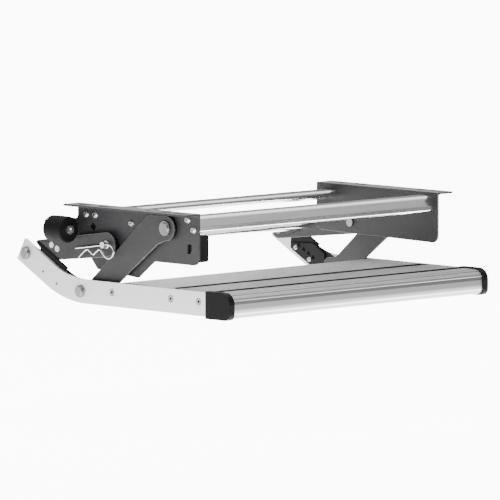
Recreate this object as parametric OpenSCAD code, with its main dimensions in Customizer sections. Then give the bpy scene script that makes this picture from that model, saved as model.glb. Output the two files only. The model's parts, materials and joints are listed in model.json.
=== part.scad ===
// Pull out step for a caravan door: two brackets carry a tread on swinging
// arms and rear links. X runs to the right, Y to the rear and Z up.
// Lengths along Y are measured from the front edge of the brackets.

/* [Overall] */
// Width over the two end caps of the tread
step_w = 550; // [450:1:700]
// Distance from a strip's inner face to the outer face of the bracket plate
strip_to_bracket = 13; // [12.5:0.5:20]

/* [Brackets] */
// Length of a bracket from front to rear
bracket_len = 264; // [255:1:290]
// Height of a bracket plate under the mounting plane
bracket_h = 78; // [72:1:84]
// Thickness of the bracket steel
bracket_t = 3; // [2:0.5:4]
// Width of the mounting flange beyond the plate's outer face
flange_w = 30; // [24:1:40]
// Radius of the bracket's lower corners
bracket_corner_r = 12; // [4:1:20]
// Depth of the lobe under the left bracket's lower edge
lobe_h = 27; // [15:1:27]
// Length of the left bracket's rear extension
extension_len = 20; // [14:1:24]
// Distance from a mounting hole's centre to the plate's outer face
hole_offset = 17; // [14:0.5:20]
// Width of the mounting slots and diameter of the round hole
hole_d = 9; // [6:0.5:11]
// Length of a mounting slot
slot_len = 25; // [14:1:30]
// Places of the mounting slots
slot_y = [23, 54, 187, 231];
// Place of the round mounting hole
round_hole_y = 92; // [75:1:160]

/* [Cross members] */
// Centre of the front beam
front_beam_y = 24; // [20:1:30]
// Depth of the front beam's centre under the mounting plane
front_beam_z = 15; // [13:1:18]
// Centre of the rear member
rear_member_y = 235.5; // [228:0.5:240]
// Depth of the rear member's centre under the mounting plane
rear_member_z = 16.4; // [14:0.2:24]
// Length of the rear member's flat oval section
rear_member_l = 34; // [30:1:38]
// Height of the rear member's flat oval section
rear_member_h = 13; // [10:1:16]
// Distance between the two screws at each end of a cross member
screw_pitch = 20; // [16:1:21]

/* [Linkage] */
// Front pivot of the arm on the bracket, along Y
pivot_a_y = 64.5; // [60:0.5:70]
// Depth of the arm's pivot
pivot_a_z = 25.4; // [24:0.2:28]
// Pivot of the rear link on the bracket, along Y
pivot_b_y = 188.8; // [184:0.5:194]
// Depth of the rear link's pivot
pivot_b_z = 58.2; // [55:0.2:60]
// Length of the arm between its two pivots
arm_len = 205; // [202:0.5:208]
// Slope of the stowed arm, in degrees under the horizontal
arm_slope = 31.27; // [30:0.05:32.5]
// Length of the rear link between its two pivots
link_len = 173.5; // [171:0.5:176]
// Slope of the stowed rear link, in degrees under the horizontal
link_slope = 8; // [7:0.05:9]
// Thickness of the arm plates
arm_t = 3.6; // [2.5:0.1:4]
// Thickness of the link plates
link_t = 3.6; // [2.5:0.1:4]
// Gap between neighbouring moving plates
plate_gap = 0.5; // [0.3:0.1:0.8]
// Radius of the arm's round end at the bracket
arm_end_r = 19; // [17:0.5:21]
// Radius of the link's round end at the bracket
link_end_r = 18.5; // [17:0.5:20]
// Radius of the link's eye at the step
link_eye_r = 13.5; // [12:0.5:15]
// Diameter of the pivot shanks
pivot_d = 12; // [9:0.5:14]
// Diameter of the pivot heads
head_d = 22; // [18:0.5:24]
// Radial running clearance of the pivots
running = 0.05; // [0.02:0.01:0.1]

/* [Side strips] */
// Height of the aluminium side strip
strip_h = 36.4; // [32:0.2:40]
// Thickness of the side strip
strip_t = 5; // [3:0.5:6]
// Depth of the side strip's top edge under the mounting plane
strip_top = 113.4; // [112:0.2:118]
// Where the strip's bend would have its corner
strip_bend_y = 270; // [264:1:276]
// Rise of the strip behind its bend, in degrees
strip_rise = 28.6; // [27:0.1:30]
// Bend radius of the strip's centre line
strip_bend_r = 165; // [140:5:180]
// Length of the risen part, from the corner of the bend to its rear end
strip_rear_len = 116; // [113:1:122]

/* [Tread] */
// Distance from the nose of the tread to the front of the brackets
nose_y = 84; // [75:1:95]
// Place of the tread's rear edge
tread_rear_y = 160; // [140:1:161]
// Thickness of the tread at its nose
tread_h = 36.8; // [33:0.2:40]
// Thickness of the extrusion's walls
tread_wall = 2.5; // [2:0.1:3.5]
// Places of the two grip inserts
insert_y = [-41, 38];
// Width of a grip insert
insert_w = 6; // [4:0.5:9]
// Places of the tread's side screws
tread_screw_y = [-18, 42, 170];
// Depth of the end cap behind the nose
cap_len = 50; // [44:1:52]
// Thickness of the end cap's rim
cap_rim = 2.2; // [1.6:0.1:3]
// Width of the end cap's rim
cap_w = 11; // [9:0.5:16]

/* [Hardware] */
// Diameter of the buttonhead screws' heads
button_d = 10; // [8:0.5:11]
// Diameter of the countersunk screws' heads
csk_d = 12; // [10:0.5:13]
// Diameter of the rubber buffer
buffer_d = 41; // [36:1:44]
// Length of the rubber buffer
buffer_len = 38; // [32:1:42]
// Wire diameter of the hairpin clip
clip_d = 2.6; // [2:0.1:3]

/* [Hidden] */
$fn = 48;
steel = [0.30, 0.30, 0.31];
dark_steel = [0.20, 0.20, 0.21];
bright = [0.80, 0.80, 0.81];
aluminium = [0.74, 0.74, 0.75];
black = [0.08, 0.08, 0.09];

// Layers along X, from the bracket plates outwards
cap_face_t = 2;
strip_out = step_w / 2 - cap_face_t;
strip_in = strip_out - strip_t;
plate_out = strip_in - strip_to_bracket;
plate_in = plate_out - bracket_t;
wall_t = 1.05;
wall_gap = 0.25;
link_out = strip_in - wall_t - wall_gap;
link_in = link_out - link_t;
arm_out = link_in - plate_gap;
arm_in = arm_out - arm_t;

// Pivots in the plane of Y and Z
pivot_a = [pivot_a_y, -pivot_a_z];
pivot_b = [pivot_b_y, -pivot_b_z];
pivot_c = pivot_a + arm_len * [cos(arm_slope), -sin(arm_slope)];
pivot_d_at = pivot_b + link_len * [cos(link_slope), -sin(link_slope)];

// Unit vector at an angle in the plane of Y and Z
function dir(angle) = [cos(angle), sin(angle)];
function unit(v) = v / norm(v);
function bearing(v) = atan2(v.y, v.x);
function turn(from, to) = let (d = to - from) d > 180 ? d - 360 : d < -180 ? d + 360 : d;

// Points along an arc
function arc(centre, r, from, to, steps = 6) =
    [for (k = [0:steps]) centre + r * dir(from + (to - from) * k / steps)];

// One rounded corner of an outline; the corner's third number is its radius
function corner(before, at, after) =
    let (p = [at.x, at.y], r = at.z)
    r == 0 ? [p] :
    let (
        u = unit([before.x, before.y] - p),
        v = unit([after.x, after.y] - p),
        half = acos(u * v) / 2,
        centre = p + unit(u + v) * r / sin(half),
        from = bearing(p + u * r / tan(half) - centre),
        to = bearing(p + v * r / tan(half) - centre)
    )
    arc(centre, r, from, from + turn(from, to));
function rounded(pts) =
    let (n = len(pts))
    [for (i = [0:n - 1]) each corner(pts[(i + n - 1) % n], pts[i], pts[(i + 1) % n])];

// Puts the model's origin between the two round mounting holes
module from_front() { translate([0, -round_hole_y, 0]) children(); }

// Extrudes an outline drawn in Y and Z, from one X to another
module along_x(x0, x1) {
    translate([x0, 0, 0]) rotate([90, 0, 90]) linear_extrude(x1 - x0) children();
}
// A rod or disc along X at a point in Y and Z
module rod_x(at, x0, x1, d, d_end = undef) {
    translate([x0, at.x, at.y]) rotate([0, 90, 0])
        cylinder(h = x1 - x0, d1 = d, d2 = is_undef(d_end) ? d : d_end);
}
// Draws for the right side, and mirrored for the left
module side(name) {
    from_front() {
        if (name == "left") mirror([1, 0, 0]) children();
        else children();
    }
}
module stadium(l, h) {
    square([l - h, h], center = true);
    for (s = [-1, 1]) translate([s * (l - h) / 2, 0]) circle(d = h);
}

/* Brackets */
front_screws = [[front_beam_y, -front_beam_z + 4.4], [front_beam_y - 12.5, -front_beam_z - 10]];
rear_screws = [for (s = [-1, 1]) [rear_member_y + s * screw_pitch / 2, -rear_member_z]];
mid_screw = [146, -24];
screw_hole_d = 5;
lobe_front_y = 105;
lobe_low_y = [132, 221];
lobe_rear_y = 236;
extension_z = [-24, -50];
tab_y = bracket_len + extension_len;

module plate_holes() {
    for (p = concat(front_screws, rear_screws)) translate(p) circle(d = screw_hole_d);
    for (p = [pivot_a, pivot_b]) translate(p) circle(d = pivot_d);
}
module right_plate_outline() {
    difference() {
        polygon(rounded([
            [0, -bracket_h, bracket_corner_r],
            [bracket_len, -bracket_h + 4, bracket_corner_r],
            [bracket_len, 0, 0],
            [0, 0, 0]]));
        plate_holes();
    }
}
module left_plate_outline() {
    low = -bracket_h - lobe_h;
    difference() {
        polygon(rounded([
            [0, -bracket_h, bracket_corner_r],
            [lobe_front_y - 8, -bracket_h, 4],
            [lobe_low_y[0], low, 2],
            [lobe_low_y[1], low + 7, 4],
            [lobe_rear_y, -bracket_h - 3, 6],
            [lobe_rear_y + 5, -bracket_h + 16, 8],
            [tab_y + bracket_t, extension_z[1], 0],
            [tab_y + bracket_t, extension_z[0], 0],
            [bracket_len, extension_z[0], 6],
            [bracket_len, 0, 0],
            [0, 0, 0]]));
        plate_holes();
        translate(mid_screw) circle(d = screw_hole_d);
        translate([230, -34.5]) rotate(45) square(9.5, center = true);
        polygon([[16, -47], [24.5, -47], [24.5, -61.5], [19, -61.5], [15.5, -56]]);
    }
}
module flange() {
    difference() {
        translate([plate_in, 0, -bracket_t])
            cube([bracket_t + flange_w, bracket_len, bracket_t]);
        for (y = slot_y) translate([plate_out + hole_offset, y, -bracket_t - 1])
            linear_extrude(bracket_t + 2) rotate(90) stadium(slot_len, hole_d);
        translate([plate_out + hole_offset, round_hole_y, -bracket_t - 1])
            cylinder(h = bracket_t + 2, d = hole_d);
    }
}
module bend_fillet() {
    difference() {
        translate([plate_out, 0, -2 * bracket_t]) cube([bracket_t, bracket_len, bracket_t]);
        translate([plate_out + bracket_t, -1, -2 * bracket_t]) rotate([-90, 0, 0])
            cylinder(h = bracket_len + 2, r = bracket_t);
    }
}
module left_bracket() {
    color(steel) side("left") {
        along_x(plate_in, plate_out) left_plate_outline();
        flange();
        bend_fillet();
        difference() {
            translate([plate_in, tab_y, extension_z[1]])
                cube([buffer_x + 12 - plate_in, bracket_t, extension_z[0] - extension_z[1]]);
            translate([buffer_x, tab_y - 1, buffer_z]) rotate([-90, 0, 0])
                cylinder(h = bracket_t + 2, d = buffer_screw_d);
        }
    }
}
module right_bracket() {
    color(steel) side("right") {
        along_x(plate_in, plate_out) right_plate_outline();
        flange();
        bend_fillet();
    }
}

/* Cross members between the brackets */
module front_beam_outline() {
    difference() {
        polygon(rounded([
            [front_beam_y - 17, -front_beam_z - 14, 3],
            [front_beam_y - 11, -front_beam_z - 15, 3],
            [front_beam_y + 4, -front_beam_z - 3, 8],
            [front_beam_y + 13, -front_beam_z + 4, 5],
            [front_beam_y + 6, -front_beam_z + 11, 6],
            [front_beam_y - 8, -front_beam_z + 9, 9],
            [front_beam_y - 16, -front_beam_z - 6, 2]]));
        for (p = front_screws) translate(p) circle(d = screw_hole_d - 1);
        translate([front_beam_y - 6, -front_beam_z - 0.5]) circle(d = 6);
    }
}
module front_beam() {
    color(aluminium) from_front() along_x(-plate_in, plate_in) front_beam_outline();
}
module oval_member_outline(l, h) {
    difference() {
        stadium(l, h);
        for (s = [-1, 1]) translate([s * screw_pitch / 2, 0]) circle(d = screw_hole_d - 1);
        square([screw_pitch - screw_hole_d - 3, h - 5], center = true);
    }
}
module rear_member() {
    color(aluminium) from_front() along_x(-plate_in, plate_in)
        translate([rear_member_y, -rear_member_z]) oval_member_outline(rear_member_l, rear_member_h);
}

/* Screws through the bracket plates */
button_h = 3.2;
module button_screw(at, face_x, depth) {
    difference() {
        union() {
            rod_x(at, face_x, face_x + button_h, button_d, button_d * 0.6);
            rod_x(at, face_x - depth, face_x, screw_hole_d - 1.2);
        }
        rod_x(at, face_x + 1, face_x + button_h + 1, 3.4);
    }
}
module frame_screws(name) {
    color(bright) side(name) {
        for (p = concat(front_screws, rear_screws)) button_screw(p, plate_out, bracket_t + 16);
        if (name == "left") button_screw(mid_screw, plate_out, bracket_t + 8);
    }
}
module left_frame_screws() { frame_screws("left"); }
module right_frame_screws() { frame_screws("right"); }

mid_nut_h = 5;
module left_mid_nut() {
    color(bright) side("left") difference() {
        translate([plate_in - mid_nut_h, mid_screw.x, mid_screw.y]) rotate([0, 90, 0])
            cylinder(h = mid_nut_h, d = 11.5, $fn = 6);
        rod_x(mid_screw, plate_in - mid_nut_h - 1, plate_in + 1, screw_hole_d - 1);
    }
}

/* Black block inside the front of the left bracket */
module latch_block() {
    color(black) side("left") difference() {
        along_x(plate_in - 20, plate_in)
            polygon(rounded([[3, -74, 4], [34, -72, 4], [34, -34, 3], [3, -34, 1]]));
        along_x(plate_in - 16, plate_in - 5) polygon([[8, -80], [29, -80], [29, -40], [8, -40]]);
    }
}

/* Rubber buffer on the left bracket's tab */
buffer_screw_d = 8;
buffer_x = strip_out + 17;
buffer_z = -38;
module at_buffer(y) { translate([buffer_x, y, buffer_z]) rotate([-90, 0, 0]) children(); }
buffer_front_y = tab_y - buffer_len;
module buffer() {
    edge = 3;
    color(black) side("left") at_buffer(buffer_front_y) rotate_extrude()
        polygon(rounded([
            [buffer_screw_d / 2, 0, 0],
            [buffer_d / 2 - 0.5, 0, edge],
            [buffer_d / 2, buffer_len / 2, 0],
            [buffer_d / 2 - 0.5, buffer_len, edge],
            [buffer_screw_d / 2, buffer_len, 0]]));
}
module buffer_screw() {
    color(bright) side("left") {
        difference() {
            at_buffer(buffer_front_y - 4) cylinder(h = 4, d = 13);
            at_buffer(buffer_front_y - 5) cylinder(h = 3.5, d = 6, $fn = 6);
        }
        at_buffer(buffer_front_y) cylinder(h = buffer_len + bracket_t + 7, d = buffer_screw_d);
        at_buffer(tab_y + bracket_t) cylinder(h = 6, d = 14, $fn = 6);
    }
}

/* Pivots on the brackets */
spacer_r = [17.5, 14.5];
module pivot_spacers(name) {
    color(dark_steel) side(name) {
        difference() {
            rod_x(pivot_a, plate_out, arm_in - running, 2 * spacer_r[0]);
            rod_x(pivot_a, plate_out - 1, arm_in + 1, pivot_d);
        }
        difference() {
            rod_x(pivot_b, plate_out, link_in - running, 2 * spacer_r[1]);
            rod_x(pivot_b, plate_out - 1, link_in + 1, pivot_d);
        }
    }
}
module left_pivot_spacers() { pivot_spacers("left"); }
module right_pivot_spacers() { pivot_spacers("right"); }

// Stepped round head that sits on a plate
module rivet_head(at, face_x, d) {
    rod_x(at, face_x, face_x + 2.4, d);
    rod_x(at, face_x + 2.4, face_x + 4.6, d * 0.82, d * 0.74);
}
// Rivet from a head on the outside to a flat head on the inside
module pivot_rivet(at, x_in, x_out, d) {
    rivet_head(at, x_out, d);
    rod_x(at, x_in, x_out, pivot_d);
    rod_x(at, x_in - 3, x_in, d * 0.75);
}
module left_arm_pivot() {
    color(bright) side("left") pivot_rivet(pivot_a, plate_in, arm_out + running, head_d);
}
module right_arm_pivot() {
    color(bright) side("right") pivot_rivet(pivot_a, plate_in, arm_out + running, head_d);
}
module right_link_pivot() {
    color(bright) side("right") pivot_rivet(pivot_b, plate_in, link_out + running, head_d * 0.8);
}
clevis_d = 9.5;
clevis_out = link_out + 9;
clip_x = link_out + 6.2;
module left_link_pin() {
    color(bright) side("left") difference() {
        union() {
            rod_x(pivot_b, plate_in - 3, plate_in, head_d * 0.75);
            rod_x(pivot_b, plate_in, link_out + 1, pivot_d);
            rod_x(pivot_b, link_out + 1, clevis_out, clevis_d);
        }
        translate([clip_x, pivot_b.x, pivot_b.y]) rotate([-90 - clip_slope, 0, 0])
            cylinder(h = 30, d = clip_d + 0.4, center = true);
    }
}

/* Hairpin clip through the left link pin */
clip_slope = 8.5;
clip_r = clip_d / 2;
clip_sides = 8;
// Route of the wire, from the pin's axis: to the rear, and up
clip_points = [
    [61, -9.1], [40, -6], [20, -3], [0, 0], [-8, 1.2], [-15, 0.5], [-21, -3.5], [-23, -9],
    [-20, -16], [-12, -19.8], [-4, -17.5], [2.5, -11.5], [8.4, -7.3], [14.5, -11],
    [21.8, -15.6], [28.5, -12], [35.2, -9], [43, -13.5], [54, -22.7]];
function clip_at(i) = clip_points[max(0, min(len(clip_points) - 1, i))];
function smooth(a, b, c, d, t) =
    b + (c - a) * t / 2 + (2 * a - 5 * b + 4 * c - d) * t * t / 2
    + (3 * b - a - 3 * c + d) * t * t * t / 2;
clip_path = concat(
    [for (i = [0:len(clip_points) - 2]) for (t = [0, 1 / 3, 2 / 3])
        smooth(clip_at(i - 1), clip_at(i), clip_at(i + 1), clip_at(i + 2), t)],
    [clip_at(len(clip_points) - 1)]);
module hairpin_clip() {
    n = len(clip_path);
    rings = [for (i = [0:n - 1])
        let (p = clip_path[i], v = clip_path[min(n - 1, i + 1)] - clip_path[max(0, i - 1)],
             across = unit([-v.y, v.x]))
        each [for (k = [0:clip_sides - 1])
            let (a = 360 * k / clip_sides)
            [clip_r * sin(a), p.x + clip_r * cos(a) * across.x, p.y + clip_r * cos(a) * across.y]]];
    faces = concat(
        [[for (k = [0:clip_sides - 1]) k]],
        [for (i = [0:n - 2]) for (k = [0:clip_sides - 1])
            let (a = i * clip_sides + k, b = i * clip_sides + (k + 1) % clip_sides)
            each [[a, a + clip_sides, b], [b, a + clip_sides, b + clip_sides]]],
        [[for (k = [clip_sides - 1:-1:0]) (n - 1) * clip_sides + k]]);
    color(bright) side("left") translate([clip_x, pivot_b.x, pivot_b.y]) polyhedron(rings, faces);
}

/* Arms */
arm_foot_r = 16;
module arm_outline() {
    difference() {
        polygon(concat(
            arc(pivot_a, arm_end_r, 90, 270, 16),
            [pivot_a + [16.5, -25], pivot_c + [-72, 16]],
            arc(pivot_c, arm_foot_r, -115, 60, 16),
            [pivot_c + [-12, 17], pivot_a + [38, arm_end_r - 1.5]]));
        for (p = [pivot_a, pivot_c]) translate(p) circle(d = pivot_d + 2 * running);
    }
}
module arm(name) { color(steel) side(name) along_x(arm_in, arm_out) arm_outline(); }
module left_arm() { arm("left"); }
module right_arm() { arm("right"); }

/* Rear links */
link_member_at = [304, -69.5];
link_member_tilt = 22.7;
link_member_l = 23;
link_member_h = 9.5;
link_screw_pitch = 13.5;
link_screws = [for (s = [-1, 1]) link_member_at + s * link_screw_pitch / 2 * dir(link_member_tilt)];
// Corner of the link above the side strip, and the notch under that corner
link_corner = [342.5, -61.5];
link_notch = [[331.5, -77], [333, -67]];
module link_outline() {
    difference() {
        polygon(concat(
            arc(pivot_b, link_end_r, 90 - link_slope, 270 - link_slope, 16),
            arc(pivot_d_at, link_eye_r, -90 - link_slope, 130, 18),
            link_notch,
            [link_corner]));
        translate(pivot_b) circle(d = pivot_d + 2 * running);
        translate(pivot_d_at) circle(d = pivot_d);
        for (p = link_screws) translate(p) circle(d = screw_hole_d);
    }
}
link_screw_head_h = 1.4;
module link(name) {
    color(steel) side(name) difference() {
        along_x(link_in, link_out) link_outline();
        for (p = link_screws)
            rod_x(p, link_out - link_screw_head_h, link_out + 1, button_d + 0.3);
    }
}
module left_link() { link("left"); }
module right_link() { link("right"); }
module link_member() {
    color(aluminium) from_front() along_x(-link_in, link_in)
        translate(link_member_at) rotate(link_member_tilt) difference() {
            stadium(link_member_l, link_member_h);
            for (s = [-1, 1]) translate([s * link_screw_pitch / 2, 0]) circle(d = screw_hole_d - 1);
        }
}
module link_screws_of(name) {
    color(bright) side(name) for (p = link_screws) difference() {
        union() {
            rod_x(p, link_out - link_screw_head_h, link_out, button_d, button_d * 0.9);
            rod_x(p, link_in - 15, link_out - link_screw_head_h, screw_hole_d - 1.2);
        }
        rod_x(p, link_out - 1, link_out + 1, 3.4);
    }
}
module left_link_screws() { link_screws_of("left"); }
module right_link_screws() { link_screws_of("right"); }
// Half of the rear pivot that stays in the link's eye
module link_stub(name) {
    color(bright) side(name) rod_x(pivot_d_at, link_in, link_out, pivot_d);
}
module left_link_stub() { link_stub("left"); }
module right_link_stub() { link_stub("right"); }

/* Side strips of the step */
strip_mid = -strip_top - strip_h / 2;
bend_tangent = strip_bend_r * tan(strip_rise / 2);
bend_centre = [strip_bend_y - bend_tangent, strip_mid + strip_bend_r];
strip_end = [strip_bend_y, strip_mid] + strip_rear_len * dir(strip_rise);
strip_front_y = cap_len - nose_y;
module strip_outline() {
    n = dir(strip_rise + 90);
    difference() {
        polygon(concat(
            [[strip_front_y, strip_mid - strip_h / 2]],
            arc(bend_centre, strip_bend_r + strip_h / 2, -90, strip_rise - 90, 12),
            [strip_end - n * strip_h / 2, strip_end + n * strip_h / 2],
            arc(bend_centre, strip_bend_r - strip_h / 2, strip_rise - 90, -90, 12),
            [[strip_front_y, strip_mid + strip_h / 2]]));
        for (p = [pivot_c, pivot_d_at]) translate(p) circle(d = pivot_d);
        for (p = bumper_screws_at) translate(p) circle(d = bumper_hole_d);
    }
}

// Moulding inside the risen part of each strip: a thin wall beside the link, with a black
// pad along its top edge, and a ribbed block under the link
bumper_hole_d = 4;
bumper_screw_s = [57.6, 22.9];
bumper_screw_n = -4;
bumper_in = link_in + 0.3;
wall_in = strip_in - wall_t;
pad_rise = 9.2;
pad_top = strip_h / 2 + pad_rise;
pad_h = 3;
pocket_s = [12, 24, 36, 48];
pocket_n = [1.5, 7];
pocket_w = 7;
// Point beside the risen part: along it from the bend's corner, and up from its middle
function risen(s, n, r = undef) =
    let (p = [strip_bend_y, strip_mid] + s * dir(strip_rise) + n * dir(strip_rise + 90))
    is_undef(r) ? p : [p.x, p.y, r];
bumper_screws_at = [for (s = bumper_screw_s) risen(s, bumper_screw_n)];
module bumper(name) {
    color(dark_steel) side(name) difference() {
        union() {
            along_x(wall_in, strip_in) polygon(rounded([
                risen(97, pad_top - pad_h, 0),
                risen(13, pad_top - pad_h, 20),
                risen(-17, pad_top, 0),
                risen(-16, 3, 4),
                risen(14, -strip_h / 3, 15),
                risen(70, -strip_h / 3, 4),
                risen(83, pad_top - pad_h - 4, 1)]));
            along_x(bumper_in, wall_in + wall_t / 2) polygon(rounded([
                risen(28, 22.5, 8), risen(-1.5, 21.5, 5), risen(-9, 10, 5), risen(15, -10.5, 12),
                risen(63.5, -10.5, 5), risen(72.5, -2, 3), risen(66, -0.5, 5)]));
        }
        for (p = bumper_screws_at) rod_x(p, bumper_in - 1, strip_in + 1, bumper_hole_d);
        for (a = pocket_s) along_x(bumper_in - 1, bumper_in + 2.2) polygon([
            risen(a, pocket_n[0]), risen(a + pocket_w, pocket_n[0]),
            risen(a + pocket_w, pocket_n[1]), risen(a + 2, pocket_n[1])]);
    }
}
module left_bumper() { bumper("left"); }
module right_bumper() { bumper("right"); }
module stop_pad(name) {
    color(black) side(name) along_x(wall_in, strip_in - 0.1) polygon([
        risen(95.5, pad_top), risen(17, pad_top + 0.4),
        risen(19, pad_top - pad_h), risen(97, pad_top - pad_h)]);
}
module left_stop_pad() { stop_pad("left"); }
module right_stop_pad() { stop_pad("right"); }
module bumper_screws(name) {
    color(bright) side(name) for (p = bumper_screws_at) {
        rod_x(p, bumper_in - 2.2, bumper_in, 5, 8);
        rod_x(p, bumper_in, strip_out - 1.5, bumper_hole_d - 0.6);
    }
}
module left_bumper_screws() { bumper_screws("left"); }
module right_bumper_screws() { bumper_screws("right"); }

screw_line = strip_mid + 3.2;
csk_h = 3.2;
module side_strip(name) {
    color([0.83, 0.83, 0.84]) side(name) difference() {
        along_x(strip_in, strip_out) strip_outline();
        for (y = tread_screw_y) {
            rod_x([y, screw_line], strip_in - 1, strip_out + 1, screw_hole_d);
            rod_x([y, screw_line], strip_out - csk_h, strip_out + 0.02, screw_hole_d + 0.1, csk_d + 0.1);
        }
    }
}
module left_side_strip() { side_strip("left"); }
module right_side_strip() { side_strip("right"); }
module tread_screws(name) {
    color(bright) side(name) for (y = tread_screw_y) difference() {
        union() {
            rod_x([y, screw_line], strip_out - csk_h, strip_out, screw_hole_d, csk_d);
            rod_x([y, screw_line], strip_in - 14, strip_out - csk_h, screw_hole_d - 1.2);
        }
        rod_x([y, screw_line], strip_out - 2, strip_out + 1, 4);
    }
}
module left_tread_screws() { tread_screws("left"); }
module right_tread_screws() { tread_screws("right"); }

// Rivet that carries the step on the arm, with its spacer
module arm_rivet(name) {
    color(bright) side(name) {
        rivet_head(pivot_c, strip_out, head_d * 0.88);
        rod_x(pivot_c, arm_in - 0.2, strip_out, pivot_d);
        rod_x(pivot_c, arm_out + 0.2, strip_in, head_d * 0.8);
    }
}
module left_arm_rivet() { arm_rivet("left"); }
module right_arm_rivet() { arm_rivet("right"); }
// Half of the rear pivot that stays in the strip
module link_rivet(name) {
    color(bright) side(name) {
        rivet_head(pivot_d_at, strip_out, head_d * 0.88);
        rod_x(pivot_d_at, strip_in, strip_out, pivot_d);
    }
}
module left_link_rivet() { link_rivet("left"); }
module right_link_rivet() { link_rivet("right"); }

/* Tread */
tread_top = -strip_top - 0.4;
tread_low = tread_top - tread_h;
nose_r = tread_h * 0.42;
insert_depth = 1.6;
module tread_outline() {
    difference() {
        union() {
            polygon(rounded([
                [tread_rear_y, tread_top, 1],
                [-nose_y, tread_top, nose_r],
                [-nose_y, tread_low, 8],
                [strip_front_y + 10, tread_low, 0],
                [strip_front_y + 10, tread_low + 4, 0],
                [tread_rear_y, tread_low + 4, 4]]));
            for (y = tread_screw_y) translate([y, screw_line]) circle(r = 6);
            translate([tread_rear_y - 2, screw_line - 2.5]) square([tread_screw_y[2] - tread_rear_y, 5]);
        }
        tread_cells();
        for (y = tread_screw_y) translate([y, screw_line]) circle(d = screw_hole_d - 1);
        for (y = insert_y) translate([y - insert_w / 2, tread_top - insert_depth]) square([insert_w, 2]);
        for (k = [0:2]) translate([-nose_y + 17 - 5 * k + k * k, tread_top + 0.4 - 0.9 * k * k]) circle(d = 1.6);
    }
}
// Hollow cells of the extrusion between its webs
cell_edges = [-66, -30, -8, 30, 54, 100, 154];
module tread_cells() {
    for (i = [0:len(cell_edges) - 2]) if (i % 2 == 1 || i > 3 || i == 0)
        polygon(rounded([
            [cell_edges[i] + tread_wall, tread_low + 4 + tread_wall, 3],
            [cell_edges[i + 1] - tread_wall, tread_low + 4 + tread_wall, 3],
            [cell_edges[i + 1] - tread_wall, tread_top - tread_wall - 2, 3],
            [cell_edges[i] + tread_wall, tread_top - tread_wall - 2, 3]]));
}
module tread() { color(aluminium) from_front() along_x(-strip_in, strip_in) tread_outline(); }
module grip_inserts() {
    color(black) from_front() for (y = insert_y)
        along_x(-strip_in, strip_in)
            translate([y - insert_w / 2, tread_top - insert_depth]) square([insert_w, insert_depth]);
}

/* End caps over the nose */
module cap_outline(grow) {
    polygon(rounded([
        [strip_front_y - 0.3, tread_top + grow, 0],
        [-nose_y - grow, tread_top + grow, nose_r + grow],
        [-nose_y - grow, tread_low - grow, 8 + grow],
        [strip_front_y - 0.3, tread_low - grow, 0]]));
}
module end_cap(name) {
    color(black) side(name) {
        along_x(strip_in, step_w / 2) cap_outline(cap_rim);
        difference() {
            along_x(step_w / 2 - cap_w, strip_in) cap_outline(cap_rim);
            along_x(step_w / 2 - cap_w - 1, strip_in + 1) cap_outline(0);
        }
    }
}
module left_end_cap() { end_cap("left"); }
module right_end_cap() { end_cap("right"); }

left_bracket();
right_bracket();
front_beam();
rear_member();
left_frame_screws();
right_frame_screws();
left_mid_nut();
latch_block();
buffer();
buffer_screw();
left_pivot_spacers();
right_pivot_spacers();
left_arm_pivot();
right_arm_pivot();
left_link_pin();
right_link_pivot();
hairpin_clip();
left_arm();
right_arm();
left_link();
right_link();
link_member();
left_link_screws();
right_link_screws();
left_link_stub();
right_link_stub();
left_side_strip();
right_side_strip();
left_tread_screws();
right_tread_screws();
left_arm_rivet();
right_arm_rivet();
left_link_rivet();
right_link_rivet();
left_bumper();
right_bumper();
left_stop_pad();
right_stop_pad();
left_bumper_screws();
right_bumper_screws();
tread();
grip_inserts();
left_end_cap();
right_end_cap();
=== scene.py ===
"""Materials, stage, light and camera for the caravan pull out step.

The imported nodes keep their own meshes. This script paints them with node materials, rounds
their edges, adds four thin pieces and sets it all on a pale floor, seen at the photograph's
angle.
"""

import json
import math

import bpy
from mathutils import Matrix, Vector


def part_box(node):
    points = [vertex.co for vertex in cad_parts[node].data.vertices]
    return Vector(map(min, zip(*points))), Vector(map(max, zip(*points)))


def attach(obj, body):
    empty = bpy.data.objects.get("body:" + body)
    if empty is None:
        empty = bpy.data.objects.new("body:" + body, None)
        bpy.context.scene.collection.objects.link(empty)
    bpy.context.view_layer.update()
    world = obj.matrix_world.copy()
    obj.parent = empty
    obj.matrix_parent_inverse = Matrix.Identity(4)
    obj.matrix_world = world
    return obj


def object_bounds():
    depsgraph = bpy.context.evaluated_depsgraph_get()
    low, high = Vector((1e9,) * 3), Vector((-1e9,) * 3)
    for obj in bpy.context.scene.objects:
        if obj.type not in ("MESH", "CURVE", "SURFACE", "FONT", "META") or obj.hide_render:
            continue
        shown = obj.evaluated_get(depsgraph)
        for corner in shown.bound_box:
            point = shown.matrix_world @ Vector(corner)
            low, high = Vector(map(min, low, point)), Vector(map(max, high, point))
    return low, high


MM = 0.001

# Camera of the photograph: almost orthographic, so it stands far off with a long lens
AZIMUTH = -44.2
ELEVATION = 5.58
DISTANCE = 12.0
SENSOR_WIDTH = 36.0
VIEW_WIDTH = 0.7617
TARGET = Vector((-0.0038, 0.0572, -0.0813))
CLIP_START = 0.1
CLIP_END = 60

# Grey powder coat of the brackets, arms and links: its tones, the flecks in it, a painted top
# light on level faces, a painted highlight along edges, its shine, its span of roughness, and how
# far the flecks show
PAINT_DARK = (0.0105, 0.0105, 0.0111)
PAINT_LIGHT = (0.0138, 0.0138, 0.0145)
PAINT_FLECK = (0.045, 0.045, 0.0465)
PAINT_TOP_LIGHT = (0.085, 0.085, 0.087)
# Painted highlight along the rounded edges: a lighter copy of the paint
EDGE_HIGHLIGHT_DARK = (0.055, 0.055, 0.056)
EDGE_HIGHLIGHT_LIGHT = (0.1, 0.1, 0.102)
PAINT_SPECULAR = 0.135
PAINT_ROUGH = (0.36, 0.48)
FLECK_SHARE = 0.12
# A face counts as level from this share of the upward axis on
LEVEL = 0.95

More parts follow.
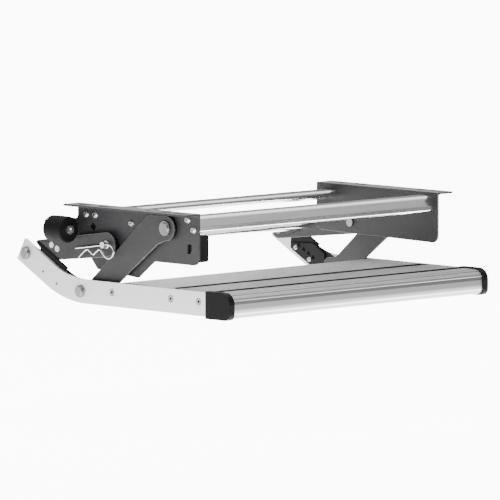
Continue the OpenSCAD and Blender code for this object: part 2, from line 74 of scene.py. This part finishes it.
# Aluminium: the cross members, the side strips and the tread
POLISHED = (0.86, 0.86, 0.865)
STRIP = (0.36, 0.36, 0.363)
TREAD_LIGHT = (0.26, 0.26, 0.263)
TREAD_DARK = (0.19, 0.19, 0.192)
TREAD_GROOVE = (0.1, 0.1, 0.102)
# Painted shade on the tread's front, and a painted reflection of the floor towards its foot
TREAD_FRONT_SHADE = (0.115, 0.115, 0.116)
TREAD_FOOT_REFLECTION = (0.5, 0.5, 0.503)
# The ridges are lighter than the tread: a painted highlight along them
RIDGE_HIGHLIGHT = (0.62, 0.62, 0.625)
# Height at which the painted reflection of the floor on the tread's front is brightest, and the
# height over which it fades
FRONT_FOOT = -144 * MM
FRONT_FADE = 8 * MM
# A face of the tread counts as its top or its front from this share of the axis on
SQUARE_ON = 0.97
# Die lines: how much coarser they are along an extrusion than across it, how dark they are,
# and how far the roughness falls and rises with them. Clouds: how dark they are, and how far
# they show
LINE_STRETCH = 0.012
LINE_SHADE = 0.93
LINE_ROUGH_DOWN = 0.05
LINE_ROUGH_UP = 0.06
CLOUD_SHADE = 0.8
CLOUD_SHARE = 0.12
# The tread: its lines to the metre along each axis, how far the grain shows on its top, its
# roughness and how much rougher the top is
TREAD_LINES = (6, 900, 900)
TREAD_GRAIN = 0.9
TREAD_ROUGH = 0.32
TOP_ROUGHER = 0.16

# Fasteners
ZINC = (0.52, 0.52, 0.524)
RIVET = (0.16, 0.16, 0.162)
WIRE = (0.34, 0.34, 0.343)
SUNK_HEAD = (0.17, 0.17, 0.172)
SOCKET_HEAD = (0.4, 0.4, 0.404)
# Painted shade in the holes around sunk screws and in the sockets of buttonhead screws
SCREW_RECESS_SHADE = (0.02, 0.02, 0.0204)
# Mottled plating: its spots to the metre, the span of noise that it uses, and its darkest shade
# on turned metal and on screws
MOTTLE_SCALE = 260
MOTTLE_START = 0.35
MOTTLE_END = 0.65
MOTTLE_SHADE = 0.82
SCREW_SHADE = 0.8
SCREW_ROUGH = (0.3, 0.42)
# Turning marks: their stretch along each axis, and how far the roughness falls and rises
MARK_STRETCH = (8, 1, 1)
MARK_ROUGH_DOWN = 0.07
MARK_ROUGH_UP = 0.08
# Distances from the step's middle: a sunk screw's head lies outside the first and its shank
# inside the second, and a socket's floor lies inside the third
SUNK_FACE = 271.5 * MM
SUNK_SHANK = 264.5 * MM
SOCKET_FLOOR = 257.0 * MM
# A face counts as flat to the screw's axis above the first share and as a wall below the second
FLAT = 0.9
WALL = 0.2

# Black plastic and rubber
BLACK = (0.002, 0.002, 0.0021)
BUMPER = (0.006, 0.006, 0.0062)
DUST_LIFT = 0.002
BLACK_SPECULAR = 0.035
CLOUD_ROUGH = 0.06

# Rounded edges: widths in mm on the nodes whose edges show, and the angle that counts as sharp
BEVELS = {
    "left_bracket": 0.5, "right_bracket": 0.5,
    "left_arm": 0.5, "right_arm": 0.5,
    "left_link": 0.5, "right_link": 0.5,
    "left_side_strip": 0.6, "right_side_strip": 0.6,
    "latch_block": 0.8,
    "left_end_cap": 0.8, "right_end_cap": 0.8,
    "left_arm_rivet": 0.5, "right_arm_rivet": 0.5,
    "left_link_rivet": 0.5, "right_link_rivet": 0.5,
    "left_arm_pivot": 0.5, "right_arm_pivot": 0.5,
    "left_link_pin": 0.5, "right_link_pivot": 0.5,
}
BEVEL_SEGMENTS = 3
SHARP = math.radians(30)
WELD_DISTANCE = 0.01 * MM

# Non-slip ridges on the tread: their pitch along X, slant, width and height, and the bands of
# Y, in metres, that they fill between the grip inserts. Ridges and ribs sink a little into what
# bears them, and end short of the tread's ends
RIDGE_PITCH = 4.6 * MM
RIDGE_LEAN = 1.18
RIDGE_WIDTH = 2.4 * MM
RIDGE_HEIGHT = 0.6 * MM
RIDGE_SINK = 0.05 * MM
RIDGE_BANDS = [(-0.149, -0.1375), (-0.1285, -0.0585), (-0.0495, 0.0665)]
RIDGE_END = 1.5 * MM

# Lengthwise ribs on each grip insert: their places across it, width, height, the share of the
# height at which they round off, and end margin
GRIP_RIBS = [-2.6 * MM, 0.0, 2.6 * MM]
GRIP_WIDTH = 1.5 * MM
GRIP_HEIGHT = 1.5 * MM
GRIP_SHOULDER = 0.7
GRIP_END = 3.0 * MM

# Ribs on the nose: the nose's radius, where they sit on it in degrees, their radius and facets
NOSE_RADIUS = 15.5 * MM
NOSE_RIB_ANGLES = [122, 141, 157]
NOSE_RIB_R = 1.1 * MM
NOSE_RIB_SIDES = 6

# Plug behind the left bracket's square hole: its centre in Y and Z, its corners, and the
# radius at each X
PLUG_Y = 138 * MM
PLUG_Z = -34.5 * MM
PLUG_CORNERS = 8
PLUG_STEPS = [(6.2 * MM, -253.0 * MM), (6.2 * MM, -251.9 * MM), (10 * MM, -251.9 * MM),
              (10 * MM, -249.6 * MM), (8.6 * MM, -248.6 * MM)]

# The floor lies below the step, which hangs free. It glows like a light table along a lane that
# runs away from the camera: fully up to the core's distance from its middle, and not at all past
# its edge. A fainter glow beside it falls off from the left to the right
FLOOR_HALF = 30.0
FLOOR_DROP = 0.16
FLOOR_ROUGH = 0.9
FLOOR_DARK = 0.32
FLOOR_LIGHT = 0.35
LANE_TURN = 45
LANE_CORE = 0.6
LANE_EDGE = 2.4
LANE_GLOW = 9.5
SIDE_REACH = 2.0
SIDE_GLOW = [(0.0, 0.7), (1.0, 0.1)]

# The room's brightness at each height, and its lamps: name, place, aim, size and power
SKY = [(0.0, 0.05), (0.52, 0.12), (0.82, 1.0)]
SKY_STRENGTH = 3.0
LIGHTS = [
    ("top", (0.0, 0.3, 2.4), (0, 0.05, -0.05), (3.0, 2.0), 260),
    ("left", (-2.6, 0.2, 0.6), (0, 0.05, -0.1), (2.6, 1.6), 14),
    ("front", (1.2, -2.8, 0.4), (0, 0, -0.1), (1.4, 0.8), 6),
]


# Node helpers


def new_material(name):
    """A material with an empty node tree but for its shader and output."""
    material = bpy.data.materials.new(name)
    material.use_nodes = True
    tree = material.node_tree
    tree.nodes.clear()
    output = tree.nodes.new("ShaderNodeOutputMaterial")
    shader = tree.nodes.new("ShaderNodeBsdfPrincipled")
    tree.links.new(shader.outputs["BSDF"], output.inputs["Surface"])
    return material, tree, shader


def mapped(tree, scale=(1, 1, 1), turn=(0, 0, 0)):
    """Object coordinates, scaled and turned by degrees."""
    coords = tree.nodes.new("ShaderNodeTexCoord")
    mapping = tree.nodes.new("ShaderNodeMapping")
    mapping.inputs["Scale"].default_value = scale
    mapping.inputs["Rotation"].default_value = [math.radians(a) for a in turn]
    tree.links.new(coords.outputs["Object"], mapping.inputs["Vector"])
    return mapping.outputs["Vector"]


def noise(tree, vector, scale, detail=3.0, roughness=0.55):
    """Soft noise with about as many spots to the metre as the scale says."""
    node = tree.nodes.new("ShaderNodeTexNoise")
    node.inputs["Scale"].default_value = scale
    node.inputs["Detail"].default_value = detail
    node.inputs["Roughness"].default_value = roughness
    tree.links.new(vector, node.inputs["Vector"])
    return node.outputs["Fac"]


def ramp(tree, value, stops, interpolation="LINEAR"):
    """A colour ramp; each stop is a position and a colour or a grey level."""
    node = tree.nodes.new("ShaderNodeValToRGB")
    band = node.color_ramp
    band.interpolation = interpolation
    while len(band.elements) < len(stops):
        band.elements.new(0.5)
    for element, (position, colour) in zip(band.elements, stops):
        if isinstance(colour, float):
            colour = (colour, colour, colour)
        element.position = position
        element.color = (*colour, 1.0)
    tree.links.new(value, node.inputs["Fac"])
    return node.outputs["Color"]


def spread(tree, value, low, high, start=0.3, end=0.7):
    """Runs from the low colour or level to the high one; most noise lies in the usual span."""
    return ramp(tree, value, [(start, low), (end, high)])


def arithmetic(tree, operation, *values):
    """A Math node; each value is a socket or a number."""
    node = tree.nodes.new("ShaderNodeMath")
    node.operation = operation
    for socket, value in zip(node.inputs, values):
        if isinstance(value, (int, float)):
            socket.default_value = value
        else:
            tree.links.new(value, socket)
    return node.outputs[0]


def mix(tree, factor, a, b, blend="MIX"):
    """Mixes two colours; each is a socket or a colour."""
    node = tree.nodes.new("ShaderNodeMix")
    node.data_type = "RGBA"
    node.blend_type = blend
    for name, value in (("Factor", factor), ("A", a), ("B", b)):
        socket = next(s for s in node.inputs if s.name == name and s.enabled)
        if isinstance(value, bpy.types.NodeSocket):
            tree.links.new(value, socket)
        elif name == "Factor":
            socket.default_value = value
        else:
            socket.default_value = (*value, 1.0)
    return next(s for s in node.outputs if s.enabled)


def bump(tree, shader, height, distance, strength=1.0):
    """Adds a bump to the shader on top of the bumps that it has."""
    node = tree.nodes.new("ShaderNodeBump")
    node.inputs["Distance"].default_value = distance
    node.inputs["Strength"].default_value = strength
    tree.links.new(height, node.inputs["Height"])
    normal = shader.inputs["Normal"]
    if normal.is_linked:
        tree.links.new(normal.links[0].from_socket, node.inputs["Normal"])
    tree.links.new(node.outputs["Normal"], normal)


def axis_value(tree, vector, axis):
    """One component of a vector."""
    node = tree.nodes.new("ShaderNodeSeparateXYZ")
    tree.links.new(vector, node.inputs["Vector"])
    return node.outputs[axis]


def facing(tree, axis):
    """One component of the surface's own normal, in the object's axes."""
    node = tree.nodes.new("ShaderNodeTexCoord")
    return axis_value(tree, node.outputs["Normal"], axis)


def shade(colour, share):
    """The colour, darkened to a share of itself."""
    return [c * share for c in colour]


# Materials


def painted_steel(name, dark, light):
    """Satin grey powder coat: fine orange peel, small shifts of tone, a painted top light on level
    faces.
    """
    material, tree, shader = new_material(name)
    shader.inputs["Specular IOR Level"].default_value = PAINT_SPECULAR
    vector = mapped(tree)
    tone = spread(tree, noise(tree, vector, scale=22, detail=4), dark, light)
    speckle = spread(tree, noise(tree, vector, scale=900, detail=2), 0.0, 1.0, start=0.45, end=0.8)
    tone = mix(tree, arithmetic(tree, "MULTIPLY", speckle, FLECK_SHARE), tone, PAINT_FLECK)
    # Level faces get a much lighter tone: a painted top light that stands in for the lamp above
    top_lit = arithmetic(tree, "GREATER_THAN", facing(tree, "Z"), LEVEL)
    tone = mix(tree, top_lit, tone, PAINT_TOP_LIGHT)
    tree.links.new(tone, shader.inputs["Base Color"])
    gloss = spread(tree, noise(tree, vector, scale=60, detail=4), *PAINT_ROUGH)
    tree.links.new(gloss, shader.inputs["Roughness"])
    peel = noise(tree, vector, scale=620, detail=2)
    bump(tree, shader, peel, distance=0.12 * MM, strength=0.6)
    return material


def drawn_aluminium(name, colour, roughness, lines_per_metre, along, line_depth, metallic=1.0):
    """Extruded aluminium: fine die lines along one axis, faint cloudiness of the anodising."""
    material, tree, shader = new_material(name)
    shader.inputs["Metallic"].default_value = metallic
    stretch = [lines_per_metre * (LINE_STRETCH if axis == along else 1) for axis in "XYZ"]
    lines = noise(tree, mapped(tree, stretch), scale=1.0, detail=4, roughness=0.65)
    cloud = noise(tree, mapped(tree), scale=14, detail=3)
    base = mix(tree, spread(tree, lines, 0.0, 1.0), shade(colour, LINE_SHADE), colour)
    cloudy = mix(tree, arithmetic(tree, "MULTIPLY", cloud, CLOUD_SHARE), base,
                 shade(colour, CLOUD_SHADE))
    tree.links.new(cloudy, shader.inputs["Base Color"])
    gloss = spread(tree, lines, roughness - LINE_ROUGH_DOWN, roughness + LINE_ROUGH_UP,
                   start=0.25, end=0.75)
    tree.links.new(gloss, shader.inputs["Roughness"])
    bump(tree, shader, lines, distance=0.02 * MM, strength=line_depth)
    return material


def tread_aluminium():
    """Anodised tread: drawn lines along its length, a fine blasted grain on top, and a front
    darkened with painted shade that has a painted reflection of the floor towards its foot."""
    material, tree, shader = new_material("tread_aluminium")
    shader.inputs["Metallic"].default_value = 0.85
    coords = mapped(tree)
    lines = noise(tree, mapped(tree, TREAD_LINES), scale=1.0, detail=4, roughness=0.6)
    grain = noise(tree, coords, scale=1400, detail=2)
    plain = mix(tree, spread(tree, lines, 0.0, 1.0), TREAD_DARK, TREAD_LIGHT)
    blasted = mix(tree, arithmetic(tree, "MULTIPLY", grain, TREAD_GRAIN), TREAD_LIGHT,
                  TREAD_GROOVE)
    # The front gets painted shade and brightens towards its foot with a painted reflection of the
    # floor
    rise = arithmetic(tree, "SUBTRACT", axis_value(tree, coords, "Z"), FRONT_FOOT)
    foot = spread(tree, arithmetic(tree, "DIVIDE", rise, FRONT_FADE), 1.0, 0.0, start=0, end=1)
    front = mix(tree, foot, TREAD_FRONT_SHADE, TREAD_FOOT_REFLECTION)
    on_front = arithmetic(tree, "LESS_THAN", facing(tree, "Y"), -SQUARE_ON)
    on_top = arithmetic(tree, "GREATER_THAN", facing(tree, "Z"), SQUARE_ON)
    base = mix(tree, on_top, mix(tree, on_front, plain, front), blasted)
    tree.links.new(base, shader.inputs["Base Color"])
    gloss = arithmetic(tree, "MULTIPLY_ADD", on_top, TOP_ROUGHER, TREAD_ROUGH)
    tree.links.new(gloss, shader.inputs["Roughness"])
    bump(tree, shader, arithmetic(tree, "MULTIPLY", grain, on_top), distance=0.1 * MM, strength=0.7)
    bump(tree, shader, lines, distance=0.03 * MM, strength=0.6)
    return material


def turned_metal(name, colour, roughness):
    """Plated fastener: fine turning marks across its axis and mottled plating."""
    material, tree, shader = new_material(name)
    shader.inputs["Metallic"].default_value = 1.0
    mottle = noise(tree, mapped(tree), MOTTLE_SCALE, detail=4)
    share = spread(tree, mottle, 0.0, 1.0, start=MOTTLE_START, end=MOTTLE_END)
    base = mix(tree, share, shade(colour, MOTTLE_SHADE), colour)
    tree.links.new(base, shader.inputs["Base Color"])
    marks = noise(tree, mapped(tree, MARK_STRETCH), scale=700, detail=2)
    gloss = spread(tree, marks, roughness - MARK_ROUGH_DOWN, roughness + MARK_ROUGH_UP)
    tree.links.new(gloss, shader.inputs["Roughness"])
    bump(tree, shader, marks, distance=0.03 * MM, strength=0.7)
    return material


def sunk_head(tree, outward, off_middle):
    """1 on the outer face of a screw that is sunk in a side strip, and on its shank; 0, which
    gets painted shade, elsewhere.
    """
    flat = arithmetic(tree, "GREATER_THAN", outward, FLAT)
    proud = arithmetic(tree, "GREATER_THAN", off_middle, SUNK_FACE)
    shank = arithmetic(tree, "LESS_THAN", off_middle, SUNK_SHANK)
    return arithmetic(tree, "MAXIMUM", arithmetic(tree, "MULTIPLY", flat, proud), shank)


def socket_head(tree, outward, off_middle):
    """1 on a buttonhead screw's head, and 0, which gets painted shade, on its socket's wall and
    floor and on the hidden shank."""
    wall = arithmetic(tree, "LESS_THAN", outward, WALL)
    low = arithmetic(tree, "LESS_THAN", off_middle, SOCKET_FLOOR)
    flat = arithmetic(tree, "GREATER_THAN", outward, FLAT)
    floor = arithmetic(tree, "MULTIPLY", low, flat)
    return arithmetic(tree, "SUBTRACT", 1.0, arithmetic(tree, "MAXIMUM", wall, floor))


def screw_metal(name, colour, head_mask):
    """Screw with a plated head and painted shade in its recess, told apart by the mask."""
    material, tree, shader = new_material(name)
    shader.inputs["Metallic"].default_value = 0.9
    vector = mapped(tree)
    mottle = spread(tree, noise(tree, vector, MOTTLE_SCALE, detail=4), SCREW_SHADE, 1.0,
                    start=MOTTLE_START, end=MOTTLE_END)
    outward = arithmetic(tree, "ABSOLUTE", facing(tree, "X"))
    off_middle = arithmetic(tree, "ABSOLUTE", axis_value(tree, vector, "X"))
    # Where the mask is 0 the screw gets painted shade
    tone = mix(tree, head_mask(tree, outward, off_middle), SCREW_RECESS_SHADE, colour)
    tree.links.new(mix(tree, 1.0, tone, mottle, "MULTIPLY"), shader.inputs["Base Color"])
    gloss = spread(tree, mottle, *SCREW_ROUGH, start=SCREW_SHADE, end=1.0)
    tree.links.new(gloss, shader.inputs["Roughness"])
    grain = noise(tree, vector, scale=900, detail=2)
    bump(tree, shader, grain, distance=0.03 * MM, strength=0.6)
    return material


def moulded(name, colour, roughness, grains_per_metre, grain_depth, dust=0.2):
    """Moulded plastic or rubber: fine leather-like grain with a little dust."""
    material, tree, shader = new_material(name)
    shader.inputs["Specular IOR Level"].default_value = BLACK_SPECULAR
    vector = mapped(tree)
    cells = tree.nodes.new("ShaderNodeTexVoronoi")
    cells.feature = "SMOOTH_F1"
    cells.inputs["Scale"].default_value = grains_per_metre
    tree.links.new(vector, cells.inputs["Vector"])
    cloud = noise(tree, vector, scale=35, detail=4)
    pale = [c + DUST_LIFT for c in colour]
    base = mix(tree, arithmetic(tree, "MULTIPLY", cloud, dust), colour, pale)
    tree.links.new(base, shader.inputs["Base Color"])
    gloss = spread(tree, cloud, roughness - CLOUD_ROUGH, roughness + CLOUD_ROUGH)
    tree.links.new(gloss, shader.inputs["Roughness"])
    bump(tree, shader, cells.outputs["Distance"], distance=grain_depth, strength=0.5)
    return material


def paint(frame):
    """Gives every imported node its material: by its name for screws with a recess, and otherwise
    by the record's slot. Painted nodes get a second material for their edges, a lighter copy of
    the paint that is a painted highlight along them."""
    slots = {
        "painted_steel": painted_steel("painted_steel", PAINT_DARK, PAINT_LIGHT),
        "extrusion": drawn_aluminium("polished_extrusion", POLISHED, roughness=0.19,
                                     lines_per_metre=900, along="X", line_depth=0.06),
        "strip": drawn_aluminium("strip_aluminium", STRIP, roughness=0.42, lines_per_metre=700,
                                 along="Y", line_depth=0.3, metallic=0.75),
        "tread": tread_aluminium(),
        "zinc": turned_metal("zinc_plate", ZINC, roughness=0.3),
        "rivet": turned_metal("rivet_steel", RIVET, roughness=0.36),
        "wire": turned_metal("spring_wire", WIRE, roughness=0.2),
        "bumper": moulded("bumper_moulding", BUMPER, roughness=0.3, grains_per_metre=500,
                          grain_depth=0.06 * MM),
        "spacer": moulded("spacer_plastic", BLACK, roughness=0.45, grains_per_metre=600,
                          grain_depth=0.06 * MM),
        "black_plastic": moulded("cap_plastic", BLACK, roughness=0.42, grains_per_metre=900,
                                 grain_depth=0.1 * MM),
        "rubber": moulded("rubber", BLACK, roughness=0.62, grains_per_metre=420,
                          grain_depth=0.12 * MM, dust=0.4),
    }
    sunk = screw_metal("sunk_screw", SUNK_HEAD, sunk_head)
    socket = screw_metal("socket_screw", SOCKET_HEAD, socket_head)
    screws = {"tread_screws": sunk, "bumper_screws": sunk, "frame_screws": socket}
    edge_highlight = painted_steel("painted_edge_highlight", EDGE_HIGHLIGHT_DARK, EDGE_HIGHLIGHT_LIGHT)
    for part in frame["record"]["subparts"]:
        node = frame["nodes"][part["node"]]
        kind = part["node"].split("_", 1)[-1]
        node.data.materials.clear()
        node.data.materials.append(screws.get(kind, slots[part["material_slot"]]))
        if part["material_slot"] == "painted_steel":
            node.data.materials.append(edge_highlight)


# Edges


def round_edges(frame):
    """Narrow rounded edges that catch the light, in the second material where there is one."""
    for name, width in BEVELS.items():
        node = frame["nodes"][name]
        weld = node.modifiers.new("weld", "WELD")
        weld.merge_threshold = WELD_DISTANCE
        bevel = node.modifiers.new("bevel", "BEVEL")
        bevel.width = width * MM
        bevel.segments = BEVEL_SEGMENTS
        bevel.limit_method = "ANGLE"
        bevel.angle_limit = SHARP
        bevel.use_clamp_overlap = True
        bevel.harden_normals = True
        # The second material paints a highlight along the rounded edges
        if len(node.data.materials) > 1:
            bevel.material = 1


# Added pieces


def new_piece(name, points, faces, material):
    """A mesh object of its own with one material."""
    mesh = bpy.data.meshes.new(name)
    mesh.from_pydata(points, [], faces)
    mesh.materials.append(material)
    piece = bpy.data.objects.new(name, mesh)
    bpy.context.scene.collection.objects.link(piece)
    return piece


def tube_faces(first, count, rings=2):
    """Faces of a closed tube through rings of points that follow one another."""
    faces = []
    for ring in range(rings - 1):
        n = first + ring * count
        faces += [(n + i, n + (i + 1) % count, n + count + (i + 1) % count, n + count + i)
                  for i in range(count)]
    last = first + (rings - 1) * count
    faces.append(tuple(range(first + count - 1, first - 1, -1)))
    faces.append(tuple(range(last, last + count)))
    return faces


def lengthwise(points, faces, section, margin, box):
    """Adds a rib along X: its section is in Y and Z, and it stops short of the box's ends."""
    low, high = box
    faces.extend(tube_faces(len(points), len(section)))
    points.extend((x, y, z) for x in (low.x + margin, high.x - margin) for y, z in section)


def tread_ridges():
    """Slanted triangular ridges in bands across the tread's top, cut off square at its ends."""
    low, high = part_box("tread")
    x_min, x_max = low.x + RIDGE_END, high.x - RIDGE_END
    foot, crest = high.z - RIDGE_SINK, high.z + RIDGE_HEIGHT
    points, faces = [], []
    for y0, y1 in RIDGE_BANDS:
        lean = RIDGE_LEAN * (y1 - y0)
        x = x_min - lean
        while x < x_max:
            xa, ya, xb, yb = x, y0, x + lean, y1
            if xa < x_min:
                ya += (x_min - xa) / RIDGE_LEAN
                xa = x_min
            if xb > x_max - RIDGE_WIDTH:
                yb -= (xb - x_max + RIDGE_WIDTH) / RIDGE_LEAN
                xb = x_max - RIDGE_WIDTH
            if yb - ya > RIDGE_WIDTH:
                faces += tube_faces(len(points), 3)
                for x_at, y_at in ((xa, ya), (xb, yb)):
                    points += [(x_at, y_at, foot), (x_at + RIDGE_WIDTH / 2, y_at, crest),
                               (x_at + RIDGE_WIDTH, y_at, foot)]
            x += RIDGE_PITCH
    material = drawn_aluminium("ridge_highlight_aluminium", RIDGE_HIGHLIGHT, roughness=0.3, lines_per_metre=700,
                               along="Y", line_depth=0.2, metallic=0.85)
    ridges = new_piece("tread_ridges", points, faces, material)
    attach(ridges, "step")


def grip_ribs(frame):
    """Rounded rubber ribs along both grip inserts, standing above the tread."""
    node = frame["nodes"]["grip_inserts"]
    low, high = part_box("grip_inserts")
    middle = (low.y + high.y) / 2
    across = [(node.matrix_world @ v.co).y for v in node.data.vertices]
    foot, top = high.z - RIDGE_SINK, high.z + GRIP_HEIGHT
    shoulder = high.z + GRIP_HEIGHT * GRIP_SHOULDER
    half = GRIP_WIDTH / 2
    points, faces = [], []
    for insert in ([y for y in across if y < middle], [y for y in across if y > middle]):
        centre = (min(insert) + max(insert)) / 2
        for offset in GRIP_RIBS:
            y = centre + offset
            section = [(y - half, foot), (y - half, shoulder), (y - half / 2, top),
                       (y + half / 2, top), (y + half, shoulder), (y + half, foot)]
            lengthwise(points, faces, section, GRIP_END, (low, high))
    ribs = new_piece("grip_ribs", points, faces, node.data.materials[0])
    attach(ribs, "step")


def nose_ribs(frame):
    """Half-round ribs along the rounded nose of the tread."""
    low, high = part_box("tread")
    points, faces = [], []
    for angle in NOSE_RIB_ANGLES:
        outward = math.radians(angle)
        y = low.y + NOSE_RADIUS + NOSE_RADIUS * math.cos(outward)
        z = high.z - NOSE_RADIUS + NOSE_RADIUS * math.sin(outward)
        turns = [outward - math.pi / 2 + math.pi * step / NOSE_RIB_SIDES
                 for step in range(NOSE_RIB_SIDES + 1)]
        section = [(y + NOSE_RIB_R * math.cos(turn), z + NOSE_RIB_R * math.sin(turn))
                   for turn in turns]
        lengthwise(points, faces, section, RIDGE_END, (low, high))
    ribs = new_piece("nose_ribs", points, faces, frame["nodes"]["tread"].data.materials[0])
    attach(ribs, "step")


def hole_plug(frame):
    """Stepped black plug behind the square hole in the left bracket."""
    turns = [2 * math.pi * (corner + 0.5) / PLUG_CORNERS for corner in range(PLUG_CORNERS)]
    points = [(x, PLUG_Y + radius * math.cos(turn), PLUG_Z + radius * math.sin(turn))
              for radius, x in PLUG_STEPS for turn in turns]
    faces = tube_faces(0, PLUG_CORNERS, len(PLUG_STEPS))
    plug = new_piece("hole_plug", points, faces, frame["nodes"]["latch_block"].data.materials[0])
    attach(plug, "frame")


# Stage, light and camera


def pale_floor(lowest):
    """A wide pale floor with a faint mottle, lit a little from below as a light table is."""
    material, tree, shader = new_material("pale_floor")
    shader.inputs["Roughness"].default_value = FLOOR_ROUGH
    mottle = noise(tree, mapped(tree), scale=3, detail=4)
    tree.links.new(spread(tree, mottle, FLOOR_DARK, FLOOR_LIGHT), shader.inputs["Base Color"])
    across = axis_value(tree, mapped(tree, turn=(0, 0, LANE_TURN)), "X")
    off_lane = arithmetic(tree, "DIVIDE", arithmetic(tree, "ABSOLUTE", across), LANE_EDGE)
    lane = ramp(tree, off_lane, [(LANE_CORE / LANE_EDGE, 1.0), (1.0, 0.0)], "EASE")
    side = ramp(tree, arithmetic(tree, "MULTIPLY_ADD", across, 0.5 / SIDE_REACH, 0.5), SIDE_GLOW)
    shader.inputs["Emission Color"].default_value = (1, 1, 1, 1)
    glow = arithmetic(tree, "ADD", arithmetic(tree, "MULTIPLY", lane, LANE_GLOW), side)
    tree.links.new(glow, shader.inputs["Emission Strength"])
    half = FLOOR_HALF
    corners = [(-half, -half, lowest), (half, -half, lowest), (half, half, lowest),
               (-half, half, lowest)]
    floor = new_piece("floor", corners, [(0, 1, 2, 3)], material)


def area_light(name, place, aim, size, power):
    """A rectangular soft lamp that is aimed at a point."""
    data = bpy.data.lights.new(name, "AREA")
    data.shape = "RECTANGLE"
    data.size, data.size_y = size
    data.energy = power
    light = bpy.data.objects.new(name, data)
    light.location = place
    light.rotation_mode = "QUATERNION"
    light.rotation_quaternion = (Vector(aim) - Vector(place)).to_track_quat("-Z", "Y")
    bpy.context.scene.collection.objects.link(light)


def studio():
    """A pale room, bright above and dimmer at the horizon, with large soft lamps."""
    world = bpy.data.worlds.new("studio")
    bpy.context.scene.world = world
    world.use_nodes = True
    tree = world.node_tree
    coords = tree.nodes.new("ShaderNodeTexCoord")
    height = axis_value(tree, coords.outputs["Generated"], "Z")
    background = tree.nodes["Background"]
    tree.links.new(ramp(tree, height, SKY), background.inputs["Color"])
    background.inputs["Strength"].default_value = SKY_STRENGTH
    for lamp in LIGHTS:
        area_light(*lamp)


def camera():
    """The photograph's camera, which looks along a bearing at the target."""
    a, e = math.radians(AZIMUTH), math.radians(ELEVATION)
    back = Vector((math.sin(a) * math.cos(e), -math.cos(a) * math.cos(e), math.sin(e)))
    data = bpy.data.cameras.new("camera")
    data.sensor_width = SENSOR_WIDTH
    data.lens = SENSOR_WIDTH * DISTANCE / VIEW_WIDTH
    data.clip_start = CLIP_START
    data.clip_end = CLIP_END
    made = bpy.data.objects.new("camera", data)
    made.location = TARGET + back * DISTANCE
    made.rotation_mode = "QUATERNION"
    made.rotation_quaternion = back.to_track_quat("Z", "Y")
    bpy.context.scene.collection.objects.link(made)
    bpy.context.scene.camera = made


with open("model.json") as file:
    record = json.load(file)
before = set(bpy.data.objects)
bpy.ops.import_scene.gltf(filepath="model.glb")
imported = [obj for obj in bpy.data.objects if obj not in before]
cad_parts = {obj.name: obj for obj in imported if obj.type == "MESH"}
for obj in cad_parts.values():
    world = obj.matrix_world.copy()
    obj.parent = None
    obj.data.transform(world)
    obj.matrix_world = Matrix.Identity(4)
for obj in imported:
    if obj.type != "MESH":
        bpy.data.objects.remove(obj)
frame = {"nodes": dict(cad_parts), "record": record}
cad_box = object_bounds()
paint(frame)
round_edges(frame)
tread_ridges()
grip_ribs(frame)
nose_ribs(frame)
hole_plug(frame)
pale_floor(cad_box[0].z - FLOOR_DROP)
studio()
camera()
